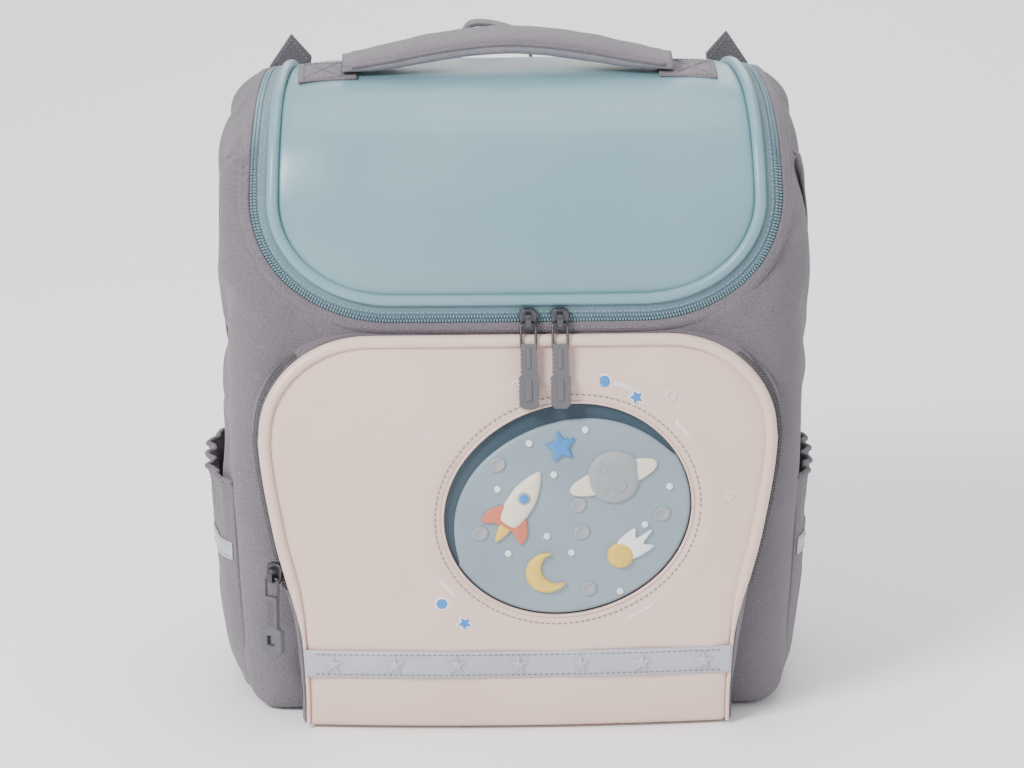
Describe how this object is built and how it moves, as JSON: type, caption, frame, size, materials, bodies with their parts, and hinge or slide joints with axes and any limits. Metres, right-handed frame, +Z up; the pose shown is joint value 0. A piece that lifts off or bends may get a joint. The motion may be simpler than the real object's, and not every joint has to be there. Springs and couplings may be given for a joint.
{
  "type": "child's school backpack",
  "caption": "Box-shaped child's school backpack with a domed zip lid, carrying handle, arched front pocket with an oval picture window, side pockets and padded straps.",
  "frame": {"origin": "middle of the flat base that the bag stands on", "axes": "+Z up, the front pocket faces -Y, the back pad and straps are towards +Y, +X is to the right seen from the front"},
  "size_m": [0.3546, 0.2296, 0.3878],
  "materials": {
    "grey_twill": "grey polyester twill",
    "dark_twill": "dark grey webbing and zip tape",
    "spacer_mesh": "lavender grey spacer mesh",
    "blue_skin": "satin coated fabric, pale grey blue",
    "blue_tape": "blue zip tape and coil",
    "pink_skin": "satin coated fabric, pale pink cream",
    "slider_metal": "satin grey lacquer",
    "pull_rubber": "satin moulded rubber",
    "slate_blue": "dark slate blue backing",
    "pale_blue": "pale blue grey plate",
    "silver_tape": "silver reflective tape",
    "cream_rubber": "cream moulded rubber",
    "yellow_rubber": "yellow moulded rubber",
    "blue_rubber": "blue moulded rubber",
    "grey_rubber": "grey moulded rubber"
  },
  "bodies": {
    "bag": {"body_back": "grey_twill", "body_side_left": "grey_twill", "body_side_right": "grey_twill", "body_base": "grey_twill", "body_front": "grey_twill", "lid_panel": "blue_skin", "lid_piping": "blue_skin", "lid_gusset": "blue_tape", "lid_zip": "blue_tape", "lid_slider_left": "slider_metal", "lid_slider_right": "slider_metal", "pocket_slider": "slider_metal", "handle": "grey_twill", "handle_band_left": "grey_twill", "handle_band_right": "grey_twill", "pocket_panel": "pink_skin", "pocket_piping": "pink_skin", "pocket_gusset": "grey_twill", "pocket_zip_left": "dark_twill", "pocket_zip_right": "dark_twill", "window_back": "slate_blue", "window_plate": "pale_blue", "motif_planet": "grey_rubber", "motif_rocket": "cream_rubber", "motif_crescent": "yellow_rubber", "motif_star": "blue_rubber", "motif_comet": "cream_rubber", "motif_crater_1": "grey_rubber", "motif_crater_2": "grey_rubber", "motif_crater_3": "grey_rubber", "motif_crater_4": "grey_rubber", "motif_crater_5": "grey_rubber", "motif_crater_6": "grey_rubber", "reflective_strip": "silver_tape", "side_pocket_left": "grey_twill", "side_pocket_right": "grey_twill", "side_tape_left": "silver_tape", "side_tape_right": "silver_tape", "back_pad": "spacer_mesh", "shoulder_strap_left": "grey_twill", "shoulder_strap_right": "grey_twill", "strap_webbing_left": "dark_twill", "strap_webbing_right": "dark_twill", "hang_loop": "dark_twill", "corner_tab_left": "dark_twill", "corner_tab_right": "dark_twill"},
    "lid_pull_left": {"lid_pull_left": "pull_rubber"},
    "lid_pull_right": {"lid_pull_right": "pull_rubber"},
    "pocket_pull": {"pocket_pull": "pull_rubber"}
  },
  "joints": [
    {"name": "lid_pull_left_swing", "type": "hinge", "parent": "bag", "child": "lid_pull_left", "pos_m": [0.006, -0.08316, 0.23969], "axis": [-1, 0, 0], "range_deg": [0, 100]},
    {"name": "lid_pull_right_swing", "type": "hinge", "parent": "bag", "child": "lid_pull_right", "pos_m": [0.024, -0.0831, 0.23969], "axis": [-1, 0, 0], "range_deg": [0, 100]},
    {"name": "pocket_pull_swing", "type": "hinge", "parent": "bag", "child": "pocket_pull", "pos_m": [-0.14096, -0.09912, 0.0941], "axis": [-0.8192, 0.5736, 0], "range_deg": [0, 100]}
  ]
}
